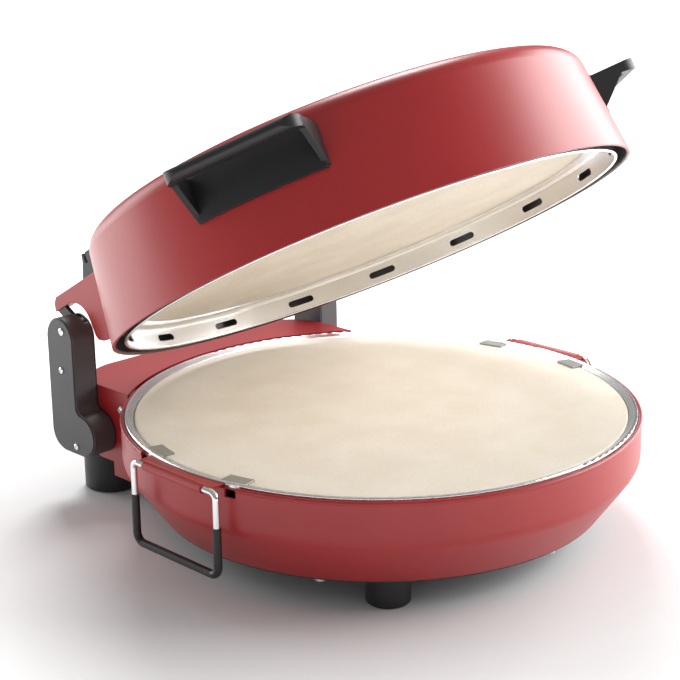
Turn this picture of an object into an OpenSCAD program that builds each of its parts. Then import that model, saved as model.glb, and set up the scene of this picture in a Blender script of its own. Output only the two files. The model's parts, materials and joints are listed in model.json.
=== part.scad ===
// Electric pizza maker: a round base with a baking stone, and a lid on two rear arms.
// Every radius is taken from the axis of the stone, and the hinge lies towards +Y.
// The finished model is moved along Y so that its origin is under the middle of its outline.

/* [Baking stone] */
// Diameter of the baking stone
stone_d = 316; // [300:1:330]
// Thickness of the baking stone
stone_t = 12; // [9:0.5:16]
// Depth of the stone's face below the steel rim
stone_sink = 2; // [1:0.5:3]
// Gap between the stone and the steel tray round it
stone_gap = 0.5; // [0.2:0.1:1]
// Width of the ledge that the stone lies on
ledge_w = 8.5; // [6:0.5:14]
// Width of a stone clip
clip_w = 17; // [10:0.5:22]

/* [Steel rim] */
// Width of the bright rim round the stone
rim_w = 5.5; // [4.5:0.5:8]
// Radius of the roll along the rim's outer edge
roll_r = 1; // [0.8:0.1:1.3]
// Height of the rim above the painted lip
rim_drop = 3; // [2.5:0.5:5]
// Thickness of the bright steel sheet
steel_t = 1; // [0.8:0.1:1.2]

/* [Base shell] */
// Thickness of the painted sheet
sheet = 1.2; // [0.8:0.1:1.5]
// Step from the steel rim out to the round wall
wall_step = 2.6; // [2.2:0.1:5]
// Height of the upright wall
wall_h = 26; // [20:1:34]
// Height of the sloping wall under the crease
slope_h = 30; // [26:1:40]
// How far the sloping wall draws in
slope_in = 21.3; // [14:0.1:26]
// Bending radius of the crease
crease_r = 12; // [6:1:14]
// Radius of the rolled bead along the lip
bead_r = 1.4; // [1:0.1:1.6]
// Thickness of the bottom plate
plate_t = 1; // [0.8:0.1:2]
// Width of the turned-in bottom flange
flange_w = 8; // [6:0.5:12]

/* [Feet] */
// Height of the front feet
front_foot_h = 20; // [16:1:26]
// Diameter of the front feet
front_foot_d = 27; // [20:1:32]
// Distance of the front feet's middle inside the bottom's edge
foot_in = 19.4; // [18:0.2:30]
// Direction of the front feet, measured from the front
foot_turn = 43.7; // [30:0.1:55]
// Height of the rear feet
rear_foot_h = 28; // [24:1:32]
// Diameter of the rear feet
rear_foot_d = 38; // [26:1:40]
// Distance of the rear feet's middle inside the housing's side
rear_foot_side = 17.5; // [17:0.5:30]
// Distance of the rear feet's middle in front of the housing's back
rear_foot_in = 20; // [18:1:24]
// Rounding of the feet's lower edge
foot_round = 2; // [1:0.5:4]

/* [Rear housing] */
// Width of the rear housing
housing_w = 207; // [190:1:220]
// Depth of the housing behind the round wall
housing_l = 30.4; // [28:0.1:40]
// Radius of the housing's rear corners
housing_corner = 36; // [20:1:40]
// Depth of the housing's top below the steel rim
housing_drop = 0.5; // [0.2:0.1:1]
// Depth of the front part of the housing below the base
skirt_drop = 3; // [2:0.5:5]
// Distance from the bottom's edge to the step in the housing's underside
skirt_l = 5.2; // [3:0.1:7]
// Depth of the housing's side screws below the steel rim
side_screw_drop = 13; // [8:0.5:20]

/* [Controls] */
// Diameter of the thermostat knob
knob_d = 34; // [24:1:38]
// Length of the thermostat knob
knob_l = 15.5; // [12:0.5:20]
// Diameter of the thermostat shaft
shaft_d = 6; // [5:0.5:8]
// Sideways place of the knob
knob_x = 48; // [40:1:54]
// Diameter of the pilot lamp
lamp_d = 9; // [6:0.5:12]
// Sideways place of the cord gland
gland_x = 52; // [44:1:60]
// Bore of the cord gland
gland_bore = 8; // [6:0.5:10]

/* [Heating elements] */
// Diameter of the element's tube
tube_d = 7; // [6:0.5:8]
// Radius of the element's loop
loop_r = 105; // [90:1:112]
// Half the distance between the element's two ends
leg_x = 12; // [10:1:16]
// Height of the lower element above the reflector's floor
tube_up = 10; // [8:0.5:11]
// Depth of the reflectors
pan_h = 20; // [18:1:24]

/* [Bails] */
// Diameter of the bail wire
wire_d = 4; // [3.5:0.1:4.5]
// Thickness of the sleeve round the wire
sleeve_t = 0.5; // [0.4:0.1:1]
// Distance between the middles of the bail's two legs
bail_w = 75; // [72:1:80]
// Length of a bail from its hinge to the middle of its bar
bail_l = 51; // [40:1:54]
// Bend radius of the bail's lower corners
bail_bend = 6; // [5:1:12]
// Length of bare wire between the hinge and the sleeve
bare_l = 21; // [14:1:26]
// Length of the rolled knuckle
knuckle_l = 53.4; // [44:0.2:54]
// Outer diameter of the rolled knuckle
knuckle_d = 5.7; // [5.3:0.1:6]
// Distance from the round wall to the bail's hinge
bail_out = 4.4; // [4.2:0.1:8]

/* [Lid] */
// Height of the lid
lid_h = 70.3; // [62:0.1:80]
// Distance by which the lid's lower edge stands out over the round wall
lid_over = 6.2; // [5:0.1:8]
// How much the lid's side draws in over its height
lid_in = 8.2; // [4:0.1:12]
// Rounding of the lid's upper edge
lid_round = 11.8; // [8:0.1:14]
// Gap between lid and rim when the lid is level
lid_gap = 5.3; // [4.5:0.1:8]
// Angle at which the lid stands open
open_angle = 29.4; // [0:0.1:50]
// Height of the slotted steel band inside the lid
band_h = 16.2; // [14:0.1:20]
// Width of the ledge inside the band
lid_ledge_w = 11.5; // [8:0.5:14]
// Thickness of the lid's stone lining
lid_stone_t = 8; // [6:0.5:12]
// Number of slots round the band
slots = 16; // [12:1:18]
// Length of a slot
slot_l = 19.6; // [14:0.1:24]
// Height of a slot
slot_h = 4.5; // [3:0.1:6]

/* [Lid handles] */
// Direction of the handles, measured from the side
handle_turn = 31; // [24:1:38]
// Width of a lid handle
handle_w = 82; // [70:1:90]
// Reach of a handle beyond the lid's lower edge
handle_reach = 24.7; // [20:0.1:30]
// Thickness of the handle's bar
bar_t = 9.5; // [8:0.1:10]
// Thickness of the handle's cheeks
cheek_t = 3.5; // [3:0.1:5]
// Thickness of the plate behind the handle
back_t = 3; // [2:0.1:4]
// Rounding of the handle's outer corners
handle_round = 10; // [6:0.5:12]

/* [Hinge] */
// Distance from the round wall to the hinge pins
pivot_back = 9.4; // [9:0.1:13]
// Height of the hinge pins above the steel rim
pivot_up = 38; // [36:0.5:42]
// Diameter of the hinge pins
pin_d = 4.4; // [4:0.1:6]
// Radial clearance of pins and bores that turn
run_gap = 0.05; // [0.02:0.01:0.1]
// Width of an arm, outer face to the housing's side
arm_t = 18.5; // [17:0.1:20]
// Half the breadth of an arm seen from the side
arm_r = 14.5; // [13.5:0.1:15]
// Length of an arm's toe towards the front
toe_l = 18.6; // [12:0.1:22]
// Radius kept clear round the pin by the lid's lug
lug_clear = 17; // [16.5:0.1:18]
// Thickness of a lug
lug_t = 8.5; // [8:0.1:9]
// Thickness of the steel strip in an arm and of the leaf in a lug
strip_t = 1.4; // [1.2:0.1:1.6]
// Thickness of the hinge leaf
leaf_t = 3; // [2.4:0.1:3.2]

/* [Hidden] */
$fn = 96;

// Clearance between pieces that are fitted together and don't move
fit = 0.2;
// Excess that lets a cut pass clean through a face
eps = 1;
// Length of a bore through a sheet wall, half of it on each side
bore_l = 10;
// Radius of a bore for a sheet screw, and of its thread
screw_bore_r = 2;
thread_r = 1.8;
// Head and length of a sheet screw
head_r = 3.2;
head_t = 1.4;
sheet_screw_l = 5;

// Heights of the base, from the table up
base_z = front_foot_h + plate_t;
crease_z = base_z + slope_h;
lip_z = crease_z + wall_h;
rim_z = lip_z + rim_drop;

// Radii of the tray and the base
stone_r = stone_d / 2;
cup_r = stone_r + stone_gap;
rim_r = cup_r + rim_w;
wall_r = rim_r + wall_step;
bottom_r = wall_r - slope_in;
bead_mid = rim_r + bead_r + 0.3;
bead_out = bead_mid + bead_r;
bead_low = lip_z - bead_r;
lip_under = 4;
stone_z = rim_z - stone_sink - stone_t;
ledge_z = stone_z - steel_t;
slope_skin = sheet * norm([slope_in, slope_h]) / slope_h;

// Arc that bends the wall into the slope at the crease
crease_turn = atan(slope_in / slope_h);
crease_mid = [wall_r - crease_r, crease_z + crease_r * tan(crease_turn / 2)];
crease_side = [cos(crease_turn), -sin(crease_turn)];

// The rim's inner side slopes from the tray's wall up to the roll
shoulder_z = stone_z + stone_t - 0.3;
roll_in = rim_r - 2 * roll_r + 0.2;
roll_low = rim_z - roll_r * 0.4;

// Clips beside the bail brackets
clip_angle = 13;
clip_h = 1.2;
clip_reach = 7;
clip_gap = 0.05;

// Screws round the bottom plate
plate_screws = 6;
plate_screw_r = bottom_r - flange_w / 2;
plate_screw_turn = 30;

// Rear housing
housing_top = rim_z - housing_drop;
housing_side = housing_w / 2;
housing_back = wall_r + housing_l;
housing_z = rear_foot_h;
skirt_z = base_z - skirt_drop;
skirt_back = bottom_r + skirt_l;
housing_front = sqrt(pow(bottom_r, 2) - pow(housing_side, 2));
side_screw_y = sqrt(pow(wall_r, 2) - pow(housing_side, 2)) + 9.2;
side_screw_z = rim_z - side_screw_drop;
control_z = (housing_top + housing_z) / 2;
front_foot_x = (bottom_r - foot_in) * sin(foot_turn);
front_foot_y = (bottom_r - foot_in) * cos(foot_turn);
rear_foot_x = housing_side - rear_foot_side;
rear_foot_y = housing_back - rear_foot_in;
knob_gap = 0.4;
foot_head_r = 4.2;
foot_bore_r = 2.2;
rear_end = housing_back + knob_gap + knob_l;
mid_y = (rear_end - bead_out) / 2;

// Heating elements and reflectors
tube_r = tube_d / 2;
pan_t = 1;
pan_r = cup_r - 2.5;
pan_top = ledge_z;
pan_floor = pan_top - pan_h;
pan_floor_r = pan_r - 30;
tube_z = pan_floor + pan_t + tube_up;
block_d = 14;
block_y = wall_r + 0.3;
block_side = 7;
leg_in_block = 6;
strap_w = 8;
post_t = 4;
strap_foot = 12;

// Bail brackets and bails
wire_r = wire_d / 2;
bail_x = wall_r + bail_out;
bail_z = rim_z - sheet - fit - wire_r;
notch_half = 43;
notch_in = 35.5;
notch_deep = 5;
plate_half_in = 34.5;
plate_half_out = 32;
pin_bend = 4;
leg_y = bail_w / 2;
pin_in = 14;

// Lid
lid_r = wall_r + lid_over;
rim_plane = rim_z + lid_gap;
pivot_y = wall_r + pivot_back;
pivot_z = rim_z + pivot_up;
pin_lid_z = pivot_z - rim_plane;
cone_a = atan(lid_in / lid_h);
round_z = lid_h - lid_round;
round_r = cone_r(round_z) - lid_round / cos(cone_a);
band_r = cup_r + 5;
ring_flange_r = cone_r(band_h) - sheet / cos(cone_a) - 0.6;
ledge_in_r = band_r - steel_t - lid_ledge_w;
lid_stone_r = ledge_in_r + 3.5;
cove_r = 3.2;
dish_r = lid_stone_r + 2.5;
dish_z = band_h + steel_t;
dish_top = dish_z + pan_h + 5;
lid_tube_z = dish_top - pan_t - tube_up;
slot_z = 7;
ring_bead_r = 1;

// Lid handles, with height taken from the lid's lower edge
bar_top = 59.4;
bar_r = 3.7;
bar_out = lid_r + handle_reach;
cheek_root = 25;
cheek_low = 16.8;
cheek_drop = 4.4;
bar_wide = 13;
back_low = 31;
back_high = 57;
handle_screw_turn = 9;
handle_screw_z = 40;

// Hinge, with y and z taken from the pin
pin_r = pin_d / 2;
arm_in = housing_side;
cover_in = arm_in + strip_t;
arm_out = arm_in + arm_t;
head_y = 3.1;
head_z = -5.9;
toe_z = rear_foot_h + 5.5 + arm_r;
arm_fillet = 6;
leaf_x = cover_in + 0.3;
lug_x = arm_in - 3;
lug_top = 26;
lug_low = -17.1;
lug_tail = 17.8;
tail_low = 17.4;
lug_back = lug_clear;
leaf_eye = 7;
leaf_half = 4;
leaf_angle = 57;
leaf_low = 18.6;
leaf_high = 23.6;
lug_root = pivot_y - sqrt(pow(cone_r(lid_h), 2) - pow(lug_x + lug_t, 2)) + eps;
leaf_l = lug_root - 12;
leaf_rivet_y = [12 - leaf_l, -8];
rivet_cap = 1.6;
lug_screw_z = [24, 44];
lug_screw_turn = acos((lug_x + 2) / cone_r(30));
lug_screw_l = 7;
arm_head_r = 2.2;
arm_shank_r = 1.6;
arm_screw_at = [
    [pivot_y + 2.7, pivot_z - 27.4],
    [pivot_y + head_y - toe_l / 2 - 3.4, toe_z - 8.6]
];

// Forked tab, with y and z taken from the pin's line and the lug's top
fork_x = 1.5;
fork_t = 6;
fork_back = 24;
fork_h = 15;
notch_back = 36.5;
notch_low = 8;
notch_w = 3;

// Depth by which flat heads stand off the curved sheet that they clamp
head_gap = 0.05;

function cone_r(z) = lid_r - lid_in * z / lid_h;

// Places on the object
module on_base() {
    translate([0, -mid_y, 0]) children();
}

module on_lid() {
    translate([0, pivot_y - mid_y, pivot_z])
        rotate([-open_angle, 0, 0])
            translate([0, -pivot_y, -pin_lid_z]) children();
}

module on_side(s) {
    if (s < 0) mirror([1, 0, 0]) children();
    else children();
}

module on_cone(turn, z) {
    rotate([0, 0, turn]) translate([cone_r(z), 0, z]) rotate([0, 90 - cone_a, 0]) children();
}

// Shapes that several pieces share
module screw(head_r, head_t, shank_r, shank_l) {
    cylinder(r = head_r, h = head_t);
    translate([0, 0, -shank_l]) cylinder(r = shank_r, h = shank_l + head_t / 2);
}

module base_form(gap) {
    rotate_extrude() polygon([
        [0, skirt_z - eps],
        [bottom_r + gap, skirt_z - eps],
        [bottom_r + gap, base_z],
        [wall_r + gap, crease_z],
        [wall_r + gap, bead_low - gap],
        [bead_out + gap, bead_low - gap],
        [bead_out + gap, rim_z + eps],
        [0, rim_z + eps]
    ]);
}

module housing_plan(inset) {
    half = housing_side - inset;
    corner = housing_corner - inset;
    back = housing_back - inset;
    translate([-half, housing_front]) square([2 * half, back - corner - housing_front]);
    translate([corner - half, housing_front]) square([2 * (half - corner), back - housing_front]);
    for (s = [-1, 1]) translate([s * (half - corner), back - corner]) circle(r = corner);
}

module cone_form(gap) {
    rotate_extrude() polygon([
        [0, -eps],
        [cone_r(-eps) + gap, -eps],
        [cone_r(lid_h) + gap, lid_h],
        [0, lid_h]
    ]);
}

module element_loop(z, leg_end) {
    spread = asin(leg_x / loop_r);
    start_y = loop_r * cos(spread);
    translate([0, 0, z]) {
        rotate([0, 0, 90 + spread])
            rotate_extrude(angle = 360 - 2 * spread) translate([loop_r, 0]) circle(r = tube_r);
        for (s = [-1, 1]) translate([s * leg_x, start_y, 0]) {
            sphere(r = tube_r);
            rotate([-90, 0, 0]) cylinder(r = tube_r, h = leg_end - start_y);
        }
    }
}

module leg_bores(z, from_y, to_y, gap) {
    for (s = [-1, 1]) translate([s * leg_x, from_y, z])
        rotate([-90, 0, 0]) cylinder(r = tube_r + gap, h = to_y - from_y);
}

// A strap round the tube, on a post that stands on a reflector
module element_clip(post_l) {
    difference() {
        union() {
            rotate([90, 0, 0]) cylinder(r = tube_r + 1.5, h = strap_w, center = true);
            translate([-post_t / 2, -strap_w / 2, -post_l]) cube([post_t, strap_w, post_l]);
            translate([-strap_foot / 2, -strap_w / 2, -post_l]) cube([strap_foot, strap_w, sheet]);
        }
        rotate([90, 0, 0]) cylinder(r = tube_r + run_gap, h = strap_w + eps, center = true);
    }
}

module foot(d, h) {
    difference() {
        rotate_extrude() {
            square([d / 2 - foot_round, h]);
            translate([0, foot_round]) square([d / 2, h - foot_round]);
            translate([d / 2 - foot_round, foot_round]) circle(r = foot_round);
        }
        translate([0, 0, -eps]) cylinder(r = foot_head_r + 0.8, h = h / 2 + eps);
        cylinder(r = foot_bore_r, h = h + eps);
    }
}

// The bail's wire or sleeve, hanging from its hinge axis
module bail_bar(r) {
    drop = bail_l - bail_bend;
    translate([0, 0, -bail_l]) rotate([90, 0, 0])
        cylinder(r = r, h = bail_w - 2 * bail_bend, center = true);
    for (s = [-1, 1]) translate([0, s * (leg_y - bail_bend), -drop])
        rotate([s < 0 ? 180 : -90, 0, 0]) rotate([0, -90, 0])
            rotate_extrude(angle = 90) translate([bail_bend, 0]) circle(r = r);
}

module bail_legs(r, from, to) {
    for (s = [-1, 1]) translate([0, s * leg_y, -to]) cylinder(r = r, h = to - from);
}

// Base
module base_shell() color("firebrick") on_base() difference() {
    rotate_extrude() {
        difference() {
            union() {
                polygon([
                    [0, base_z],
                    [bottom_r, base_z],
                    crease_mid + crease_r * crease_side,
                    crease_mid,
                    [wall_r, crease_mid[1]],
                    [wall_r, lip_z],
                    [0, lip_z]
                ]);
                translate(crease_mid) circle(r = crease_r);
            }
            polygon([
                [-eps, base_z + sheet],
                [bottom_r - slope_skin + sheet * slope_in / slope_h, base_z + sheet],
                crease_mid + (crease_r - sheet) * crease_side,
                crease_mid,
                [wall_r - sheet, crease_mid[1]],
                [wall_r - sheet, lip_z - sheet],
                [-eps, lip_z - sheet]
            ]);
            translate(crease_mid) circle(r = crease_r - sheet);
            translate([-eps, base_z - eps]) square([bottom_r - flange_w + eps, sheet + 2 * eps]);
            translate([-eps, lip_z - sheet - eps]) square([rim_r - lip_under + eps, sheet + 2 * eps]);
        }
        translate([bead_mid, lip_z]) circle(r = bead_r);
    }
    // The bead stops beside the bail brackets, and the wall is notched at their ends
    for (s = [-1, 1]) on_side(s) {
        difference() {
            translate([wall_r - 30, -notch_half, bead_low - eps]) cube([50, 2 * notch_half, 10]);
            cylinder(r = wall_r, h = lip_z);
        }
        for (t = [-1, 1]) difference() {
            translate([wall_r - 30, t * (notch_half + notch_in) / 2 - (notch_half - notch_in) / 2, lip_z - notch_deep])
                cube([50, notch_half - notch_in, notch_deep + eps]);
            cylinder(r = rim_r + fit, h = rim_z);
        }
    }
    leg_bores(tube_z, wall_r - 10, wall_r + 10, 1);
    at_plate_screws() cylinder(r = screw_bore_r, h = base_z + bore_l);
}

module at_plate_screws() {
    for (k = [0 : plate_screws - 1]) rotate([0, 0, plate_screw_turn + 360 / plate_screws * k])
        translate([plate_screw_r, 0, 0]) children();
}

module base_plate() color("silver") on_base() difference() {
    translate([0, 0, front_foot_h]) cylinder(r = bottom_r - 0.8, h = plate_t);
    at_plate_screws() cylinder(r = screw_bore_r, h = base_z + eps);
    for (s = [-1, 1]) translate([s * front_foot_x, -front_foot_y, 0]) cylinder(r = foot_bore_r, h = base_z + eps);
}

module base_plate_screws() color("silver") on_base() at_plate_screws()
    translate([0, 0, front_foot_h]) mirror([0, 0, 1]) screw(head_r, head_t, thread_r, sheet_screw_l);

module tray_rim() color("gainsboro") on_base() rotate_extrude() {
    translate([cup_r - ledge_w, ledge_z]) square([ledge_w + steel_t, steel_t]);
    translate([cup_r, ledge_z]) square([steel_t, shoulder_z - ledge_z]);
    polygon([
        [cup_r, shoulder_z],
        [roll_in, roll_low],
        [roll_in + roll_r, roll_low - roll_r],
        [cup_r + steel_t, shoulder_z - steel_t]
    ]);
    translate([rim_r - roll_r, rim_z - roll_r]) circle(r = roll_r);
    translate([rim_r - steel_t, lip_z]) square([steel_t, rim_z - roll_r - lip_z]);
}

module baking_stone() color("tan") on_base()
    translate([0, 0, stone_z]) rotate_extrude() {
        square([stone_r - 1, stone_t]);
        square([stone_r, stone_t - 1]);
        translate([stone_r - 1, stone_t - 1]) circle(r = 1);
    }

// Flat tabs that reach over the stone's edge from the rim's sloping side
function shoulder_at(z) = cup_r + (z - shoulder_z) * (roll_in - cup_r) / (roll_low - shoulder_z) - clip_gap;

module stone_clips() color("gray") on_base()
    for (s = [-1, 1], t = [-1, 1]) on_side(s) rotate([0, 0, t * clip_angle]) intersection() {
        rotate_extrude() polygon([
            [cup_r - clip_reach, rim_z - stone_sink],
            [shoulder_at(rim_z - stone_sink), rim_z - stone_sink],
            [shoulder_at(rim_z - stone_sink + clip_h), rim_z - stone_sink + clip_h],
            [cup_r - clip_reach, rim_z - stone_sink + clip_h]
        ]);
        translate([0, -clip_w / 2, 0]) cube([2 * rim_r, clip_w, 2 * rim_z]);
    }

module base_reflector() color("silver") on_base() difference() {
    rotate_extrude() polygon([
        [0, pan_floor],
        [pan_floor_r, pan_floor],
        [pan_r - 14, pan_top - pan_t],
        [pan_r, pan_top - pan_t],
        [pan_r, pan_top],
        [pan_r - 14.8, pan_top],
        [pan_floor_r - 0.6, pan_floor + pan_t],
        [0, pan_floor + pan_t]
    ]);
    leg_bores(tube_z, pan_floor_r - 10, pan_r + 2, 1);
}

module lower_element() color("dimgray") on_base() element_loop(tube_z, block_y + leg_in_block);

module lower_element_clips() color("silver") on_base()
    for (k = [0 : 2]) rotate([0, 0, -90 + 120 * k]) translate([loop_r, 0, tube_z])
        element_clip(tube_up);

module rear_housing() color("firebrick") on_base() difference() {
    union() {
        translate([0, 0, housing_z]) linear_extrude(housing_top - housing_z) housing_plan(0);
        translate([0, 0, skirt_z]) linear_extrude(housing_z - skirt_z + eps) intersection() {
            housing_plan(0);
            translate([-housing_w, 0]) square([2 * housing_w, skirt_back]);
        }
    }
    translate([0, 0, skirt_z - eps]) linear_extrude(housing_top - sheet - skirt_z + eps) intersection() {
        housing_plan(sheet);
        translate([-housing_w, 0]) square([2 * housing_w, housing_back]);
    }
    translate([-housing_w, 0, skirt_z - 2 * eps]) cube([2 * housing_w, housing_front + eps, housing_z]);
    base_form(0.3);
    translate([knob_x, housing_back - bore_l / 2, control_z]) rotate([-90, 0, 0]) cylinder(r = 5, h = bore_l);
    translate([0, housing_back - bore_l / 2, control_z]) rotate([-90, 0, 0])
        cylinder(r = lamp_d / 2 + fit, h = bore_l);
    translate([-gland_x, housing_back - bore_l / 2, control_z]) rotate([-90, 0, 0])
        cylinder(r = gland_bore / 2 + 2 + fit, h = bore_l);
    for (s = [-1, 1]) on_side(s) translate([housing_side - bore_l / 2, side_screw_y, side_screw_z])
        rotate([0, 90, 0]) cylinder(r = screw_bore_r, h = bore_l);
}

module housing_screws() color("white") on_base() for (s = [-1, 1]) on_side(s)
    translate([housing_side, side_screw_y, side_screw_z]) rotate([0, 90, 0])
        screw(head_r, head_t, thread_r, sheet_screw_l);

// Stepped plate that closes the housing from below
module housing_cover() color("silver") on_base() difference() {
    union() {
        translate([0, 0, housing_z]) linear_extrude(sheet) housing_plan(sheet + fit);
        translate([0, 0, skirt_z]) linear_extrude(housing_z + sheet - skirt_z) intersection() {
            housing_plan(sheet + fit);
            translate([-housing_w, 0]) square([2 * housing_w, skirt_back]);
        }
    }
    translate([0, 0, skirt_z + sheet]) linear_extrude(housing_z) intersection() {
        housing_plan(0);
        translate([-housing_w, 0]) square([2 * housing_w, skirt_back - sheet]);
    }
    base_form(0.3);
    for (s = [-1, 1]) translate([s * rear_foot_x, rear_foot_y, 0]) cylinder(r = foot_bore_r, h = rim_z);
}

module terminal_block() color("ivory") on_base() difference() {
    translate([-leg_x - block_side, block_y, tube_z - block_side])
        cube([2 * (leg_x + block_side), block_d, 2 * block_side]);
    leg_bores(tube_z, block_y - eps, block_y + leg_in_block + fit, fit);
}

module thermostat() color("silver") on_base() translate([knob_x, housing_back - sheet, control_z])
    rotate([-90, 0, 0]) {
        translate([-12, -14, -14]) cube([24, 28, 14]);
        cylinder(r = 4.6, h = sheet);
        cylinder(r = shaft_d / 2, h = sheet + knob_gap + knob_l - 4);
    }

module pilot_lamp() color("orange") on_base() translate([0, housing_back, control_z]) rotate([-90, 0, 0]) {
    translate([0, 0, -10]) cylinder(r = lamp_d / 2, h = 10);
    cylinder(r = lamp_d / 2 + 1.5, h = 1.2);
    translate([0, 0, 1.2]) intersection() {
        translate([0, 0, 2 - lamp_d / 2]) sphere(r = lamp_d / 2);
        cylinder(r = lamp_d, h = lamp_d);
    }
}

module cord_gland() color("black") on_base() translate([-gland_x, housing_back, control_z])
    rotate([-90, 0, 0]) difference() {
        union() {
            cylinder(r = gland_bore / 2 + 5, h = 3);
            translate([0, 0, -sheet - 6]) cylinder(r = gland_bore / 2 + 2, h = 7 + sheet);
            translate([0, 0, 3]) cylinder(r1 = gland_bore / 2 + 4, r2 = gland_bore / 2 + 2.5, h = 4);
        }
        translate([0, 0, -20]) cylinder(r = gland_bore / 2, h = 40);
    }

module front_feet() color("black") on_base() for (s = [-1, 1])
    translate([s * front_foot_x, -front_foot_y, 0]) foot(front_foot_d, front_foot_h);

module rear_feet() color("black") on_base() for (s = [-1, 1])
    translate([s * rear_foot_x, rear_foot_y, 0]) foot(rear_foot_d, rear_foot_h);

module foot_screws() color("silver") on_base() for (s = [-1, 1]) {
    translate([s * front_foot_x, -front_foot_y, front_foot_h / 2]) mirror([0, 0, 1])
        screw(foot_head_r, 2, foot_bore_r - fit, front_foot_h / 2 + plate_t + 2);
    translate([s * rear_foot_x, rear_foot_y, rear_foot_h / 2]) mirror([0, 0, 1])
        screw(foot_head_r, 2, foot_bore_r - fit, rear_foot_h / 2 + sheet + 2);
}

// Bail brackets and bails
module bail_bracket() difference() {
    union() {
        difference() {
            translate([0, 0, rim_z - 2 * sheet]) linear_extrude(sheet) polygon([
                [cup_r - 8, -plate_half_in],
                [bail_x, -plate_half_out],
                [bail_x, plate_half_out],
                [cup_r - 8, plate_half_in]
            ]);
            translate([0, 0, ledge_z]) cylinder(r = rim_r + fit, h = rim_z);
        }
        // Foot strip that rests on the lip
        intersection() {
            difference() {
                translate([0, 0, lip_z]) cylinder(r = wall_r - fit, h = rim_drop);
                translate([0, 0, ledge_z]) cylinder(r = rim_r + fit, h = rim_z);
            }
            translate([0, 6 - plate_half_out, 0])
                cube([2 * bail_x, 2 * plate_half_out - 12, rim_z - 1.5 * sheet]);
        }
        translate([bail_x, 0, bail_z]) rotate([90, 0, 0])
            cylinder(d = knuckle_d, h = knuckle_l, center = true);
        translate([bail_x - knuckle_d / 2, -knuckle_l / 2, bail_z])
            cube([knuckle_d / 2, knuckle_l, rim_z - 2 * sheet - bail_z + sheet / 2]);
    }
    translate([bail_x, 0, bail_z]) rotate([90, 0, 0])
        cylinder(r = wire_r + run_gap, h = bail_w, center = true);
}

module left_bail_bracket() color("firebrick") on_base() on_side(-1) bail_bracket();
module right_bail_bracket() color("firebrick") on_base() on_side(1) bail_bracket();

module bail_wire() translate([bail_x, 0, bail_z]) {
    for (s = [-1, 1]) {
        translate([0, s * (pin_in + leg_y - pin_bend) / 2, 0]) rotate([90, 0, 0])
            cylinder(r = wire_r, h = leg_y - pin_bend - pin_in, center = true);
        translate([0, s * (leg_y - pin_bend), -pin_bend])
            rotate([s < 0 ? 90 : 0, 0, 0]) rotate([0, -90, 0])
                rotate_extrude(angle = 90) translate([pin_bend, 0]) circle(r = wire_r);
    }
    bail_legs(wire_r, pin_bend, bail_l - bail_bend);
    bail_bar(wire_r);
}

module bail_grip() translate([bail_x, 0, bail_z]) difference() {
    union() {
        bail_legs(wire_r + sleeve_t, bare_l, bail_l - bail_bend);
        bail_bar(wire_r + sleeve_t);
    }
    bail_legs(wire_r + 0.03, bare_l - eps, bail_l - bail_bend);
    bail_bar(wire_r + 0.03);
}

module left_bail_wire() color("gainsboro") on_base() on_side(-1) bail_wire();
module right_bail_wire() color("gainsboro") on_base() on_side(1) bail_wire();
module left_bail_grip() color("black") on_base() on_side(-1) bail_grip();
module right_bail_grip() color("black") on_base() on_side(1) bail_grip();

module thermostat_knob() color("black") on_base()
    translate([knob_x, housing_back + knob_gap, control_z]) rotate([-90, 0, 0]) difference() {
        union() {
            cylinder(r = knob_d / 2, h = 4);
            cylinder(r1 = knob_d / 2 - 2, r2 = knob_d / 2 - 4, h = knob_l - 1);
            translate([-2, 3 - knob_d / 2, knob_l - 2]) cube([4, knob_d - 8, 2]);
        }
        translate([0, 0, -eps]) cylinder(r = shaft_d / 2 + run_gap, h = knob_l - 3.5 + eps);
    }

// Arms: a capsule column with a capsule toe, joined by a fillet
module arm_outline(inset) {
    r = arm_r - inset;
    top = pivot_z + head_z;
    back = pivot_y + head_y;
    front = back - toe_l;
    translate([back, top]) circle(r = r);
    translate([back - r, toe_z]) square([2 * r, top - toe_z]);
    translate([back, toe_z]) circle(r = r);
    translate([front, toe_z]) circle(r = r);
    translate([front, toe_z - r]) square([toe_l, 2 * r]);
    translate([back - r - arm_fillet, toe_z + r - eps]) difference() {
        square([arm_fillet + eps, arm_fillet + eps]);
        translate([0, arm_fillet + eps]) circle(r = arm_fillet);
    }
}

module in_arm(x) {
    translate([x, 0, 0]) rotate([90, 0, 90]) children();
}

module arm_bores(x, l, gap) {
    in_arm(x) {
        translate([pivot_y, pivot_z]) cylinder(r = pin_r + gap, h = l);
        for (p = arm_screw_at) translate(p) cylinder(r = arm_shank_r + fit, h = l);
    }
}

module hinge_bracket() difference() {
    in_arm(arm_in) linear_extrude(strip_t) arm_outline(fit);
    arm_bores(arm_in - eps, strip_t + 2 * eps, run_gap);
}

module left_hinge_bracket() color("silver") on_base() on_side(-1) hinge_bracket();
module right_hinge_bracket() color("silver") on_base() on_side(1) hinge_bracket();

// Slot that the leaf swings in, open at the top and at the back
module leaf_slot() in_arm(cover_in - eps) translate([pivot_y, pivot_z]) {
    cylinder(r = leaf_eye + 1, h = leaf_t + 0.6 + eps);
    linear_extrude(leaf_t + 0.6 + eps) polygon([
        [0, 0],
        (leaf_eye + 1) * [cos(-72), sin(-72)],
        40 * [cos(-45), sin(-45)],
        [60, 0],
        [50, 50],
        40 * [cos(86), sin(86)],
        (leaf_eye + 1) * [cos(150), sin(150)]
    ]);
}

module arm_cover() difference() {
    union() {
        in_arm(cover_in) linear_extrude(arm_out - cover_in - 1) arm_outline(0);
        in_arm(arm_out - 1 - eps / 2) linear_extrude(1 + eps / 2) arm_outline(1);
    }
    leaf_slot();
    arm_bores(cover_in - eps, arm_t + eps, run_gap);
}

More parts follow.
